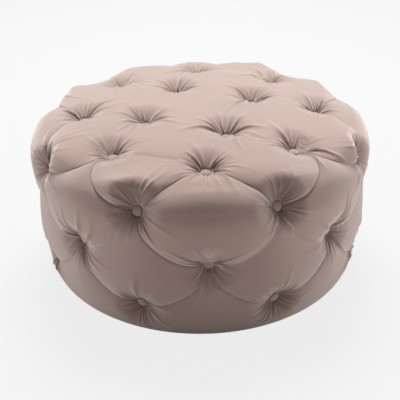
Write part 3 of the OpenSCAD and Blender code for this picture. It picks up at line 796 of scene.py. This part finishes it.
def button_shell():
    """A profile from the middle of the dome over the rim to the middle of the back, turned round.

    The front is a quarter turn from the dome's middle to the rim, a little fuller than a circle.
    The back draws in behind the rim, and the rim's radius waves by a small share.
    """
    t = np.linspace(0, 1, RINGS + 1)
    over = np.clip(t / FRONT_SHARE, 0, 1)
    under = np.clip((t - FRONT_SHARE) / (1 - FRONT_SHARE), 0, 1)
    r = BUTTON_R * np.sin(over * np.pi / 2) ** FULL_R * (1 - under**TAPER)
    z = RIM_Z + (BUTTON_H - RIM_Z) * np.cos(over * np.pi / 2) ** FULL_Z
    z = z - RIM_Z * np.sin(under * np.pi / 2)
    a = np.linspace(0, 2 * np.pi, ROUND, endpoint=False)
    pucker = 1 + PUCKER_SHARE * np.sin(a * PUCKERS + PUCKER_TURN)[None] * over[:, None] ** 3
    radius = r[:, None] * pucker
    height = np.repeat(z[:, None], ROUND, 1)
    return np.stack([radius * np.cos(a), radius * np.sin(a), height], -1)


def buttons_mesh(name, places):
    """Copies of the shell, each carried to its tuft's floor, closed at both poles."""
    shell = button_shell()
    points, quads, triangles = [], [], []
    base = 0
    for place in places:
        spot, axis, down, around, _ = button_frame(place)
        turned = shell[..., :1] * down + shell[..., 1:2] * around + shell[..., 2:] * axis
        turned = turned + spot + axis * BUTTON_LIFT
        body = turned[1:-1].reshape(-1, 3)
        points.append(np.concatenate([body, turned[0, :1], turned[-1, :1]]))
        g = np.arange(len(body)).reshape(-1, ROUND)
        g = np.concatenate([g, g[:, :1]], 1) + base
        corners = [g[:-1, :-1], g[1:, :-1], g[1:, 1:], g[:-1, 1:]]
        quads.append(np.stack(corners, -1).reshape(-1, 4))
        top, bottom = base + len(body), base + len(body) + 1
        triangles.append(np.stack([np.full(ROUND, top), g[0, :-1], g[0, 1:]], 1))
        triangles.append(np.stack([np.full(ROUND, bottom), g[-1, 1:], g[-1, :-1]], 1))
        base += len(body) + 2
    mesh = bpy.data.meshes.new(name)
    fill(mesh, np.concatenate(points) * MM, np.concatenate(quads), np.concatenate(triangles))
    put_right(mesh)
    return mesh


for row, places in BUTTON_ROWS.items():
    mesh = buttons_mesh("velvet_buttons_" + row, places)
    covered = bpy.data.objects.new("velvet_buttons_" + row, mesh)
    bpy.context.scene.collection.objects.link(covered)
    mesh.materials.append(cloth.material)
    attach(covered, "root")
    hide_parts("buttons_" + row)


# Dust cover: black spun-bonded cloth stapled over the open underside.
# Its pressed dot pattern shows from below, and its edge is cut just inside the bottom edge.
dust = Finish("spunbond_cloth", roughness=0.85)
dots = dust.node("TexVoronoi", None, {"Vector": dust.place(), "Scale": 420.0})
dust.set("Base Color", dust.mixed(dots, (0.012, 0.012, 0.013), (0.035, 0.035, 0.037)))
dust.set("Normal", dust.bump(dots, 0.0003))
wear(dust, "dust_cover")


# Glides: eight moulded plastic feet, screwed on under the uprights.
# Black nylon with a fine moulded grain.
wear(moulded("black_nylon", (0.018, 0.018, 0.019), (0.032, 0.032, 0.034), 0.42), "glides")


# Studio: a pale floor and backdrop, a broad soft light above and behind, weak warm ones at both
# sides, and one that lights the floor in front, whose bounce fills the shade.
# The camera stands where the photograph was taken from, 1.9 m away and 31 degrees up.
BACKDROP, AIR, SHADOW_SHARE = 0.905, 0.12, 0.1
scene = bpy.context.scene
scene.view_settings.view_transform = "Standard"

world = bpy.data.worlds.new("studio_air")
scene.world = world
world.use_nodes = True
air = world.node_tree
background = air.nodes["Background"]


def either(tree, one, other):
    """Whichever of two light path outputs is 1."""
    made = tree.nodes.new("ShaderNodeMath")
    made.operation = "MAXIMUM"
    tree.links.new(one, made.inputs[0])
    tree.links.new(other, made.inputs[1])
    return made.outputs[0]


def seen_share(tree):
    """1 where the camera, a mirror or glass looks, 0 for the light that falls on the object."""
    ray = tree.nodes.new("ShaderNodeLightPath").outputs
    seen = either(tree, ray["Is Camera Ray"], ray["Is Glossy Ray"])
    return either(tree, seen, ray["Is Transmission Ray"])


# A Mix node's plain numbers are its sockets 2 and 3
strength = air.nodes.new("ShaderNodeMix")
strength.inputs[2].default_value = AIR
strength.inputs[3].default_value = BACKDROP
air.links.new(seen_share(air), strength.inputs[0])
background.inputs["Color"].default_value = (1, 1, 1, 1)
air.links.new(strength.outputs[0], background.inputs["Strength"])

FLOOR = 12.0
floor_corners = [(-FLOOR, -FLOOR, 0), (FLOOR, -FLOOR, 0), (FLOOR, FLOOR, 0), (-FLOOR, FLOOR, 0)]
floor_mesh = bpy.data.meshes.new("floor")
floor_mesh.from_pydata(floor_corners, [], [(0, 1, 2, 3)])
floor = bpy.data.objects.new("floor", floor_mesh)
scene.collection.objects.link(floor)
ground = Finish("pale_floor", roughness=0.95)
ground.set("Base Color", (0.85, 0.85, 0.85, 1))
glow = ground.tree.nodes.new("ShaderNodeEmission")
glow.inputs["Color"].default_value = (BACKDROP, BACKDROP, BACKDROP, 1)
blend = ground.tree.nodes.new("ShaderNodeMixShader")
seen = Wire(ground, seen_share(ground.tree))
ground.feed(blend.inputs[0], seen * (1 - SHADOW_SHARE))
ground.tree.links.new(ground.surface.outputs[0], blend.inputs[1])
ground.tree.links.new(glow.outputs[0], blend.inputs[2])
ground.tree.links.new(blend.outputs[0], ground.tree.nodes["Material Output"].inputs["Surface"])
floor_mesh.materials.append(ground.material)


WHITE, WARM = (1.0, 1.0, 1.0), (1.0, 0.955, 0.925)


def soft_light(name, place, aim, size, power, tint, spread=180):
    """A square area lamp that faces a point. spread is the angle of its light, in degrees."""
    lamp = bpy.data.lights.new(name, "AREA")
    lamp.shape, lamp.size, lamp.energy = "SQUARE", size, power
    lamp.color, lamp.spread = tint, math.radians(spread)
    made = bpy.data.objects.new(name, lamp)
    made.location = place
    made.rotation_euler = (Vector(aim) - Vector(place)).to_track_quat("-Z", "Y").to_euler()
    scene.collection.objects.link(made)


soft_light("overhead", (0, 1.85, 3.4), (0, 0, 0.2), 1.8, 194, WHITE)
soft_light("front_floor", (0, -1.6, 1.4), (0, -1.6, 0), 0.9, 8.5, WARM, spread=56)
soft_light("left_edge", (-2.35, 0.1, 0.9), (0, 0, 0.2), 1.2, 18.5, WARM)
soft_light("right_edge", (2.35, 0.1, 0.9), (0, 0, 0.2), 1.2, 22, WARM)

ELEVATION, DISTANCE, LENS = 30.8, 1.912, 64.1
AIM = Vector((-0.003, 0, 0.127))
ROLL = -0.85
eye = bpy.data.cameras.new("photo_camera")
eye.lens, eye.sensor_width = LENS, 36.0
camera = bpy.data.objects.new("photo_camera", eye)
tilt = math.radians(ELEVATION)
camera.matrix_world = (
    Matrix.Translation(AIM + Vector((0, -math.cos(tilt), math.sin(tilt))) * DISTANCE)
    @ Matrix.Rotation(math.pi / 2 - tilt, 4, "X")
    @ Matrix.Rotation(math.radians(ROLL), 4, "Z")
)
scene.collection.objects.link(camera)
scene.camera = camera
